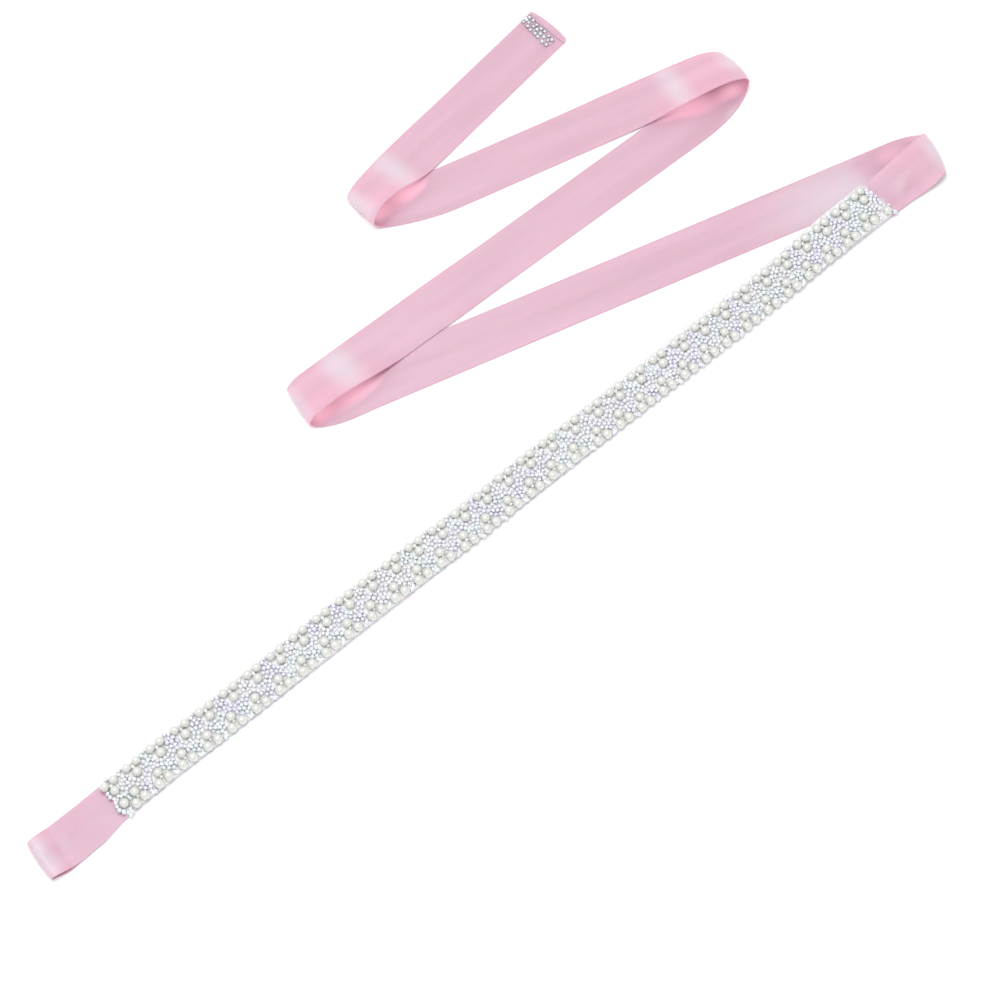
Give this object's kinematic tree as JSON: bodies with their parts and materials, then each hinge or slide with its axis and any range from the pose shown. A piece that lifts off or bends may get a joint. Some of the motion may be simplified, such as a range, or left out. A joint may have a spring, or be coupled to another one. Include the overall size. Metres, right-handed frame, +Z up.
{
  "type": "bridal sash",
  "caption": "Bridal sash laid flat: pale pink satin ribbon in a zigzag of soft folds, with a long straight strip of ivory pearls and small crystal beads sewn on it.",
  "frame": {"origin": "centre of the laid-out sash, on the table that it lies on", "axes": "+Z up from the table, +X to the right of the layout, +Y towards its loose end"},
  "size_m": [0.4446, 0.4618, 0.0149],
  "materials": {
    "pink_satin": "soft pale pink polyester satin with a gentle sheen",
    "ivory_pearl": "ivory pearl coating with a soft gloss",
    "silver_crystal": "small silver-backed crystal beads and stones"
  },
  "bodies": {
    "root": {"ribbon_run_1": "pink_satin", "ribbon_run_2": "pink_satin", "ribbon_run_3": "pink_satin", "ribbon_run_4": "pink_satin", "ribbon_run_5": "pink_satin", "ribbon_tail": "pink_satin", "tail_turned_under": "pink_satin", "end_hem": "pink_satin", "end_trim": "silver_crystal", "beaded_strip": "ivory_pearl"}
  },
  "joints": []
}
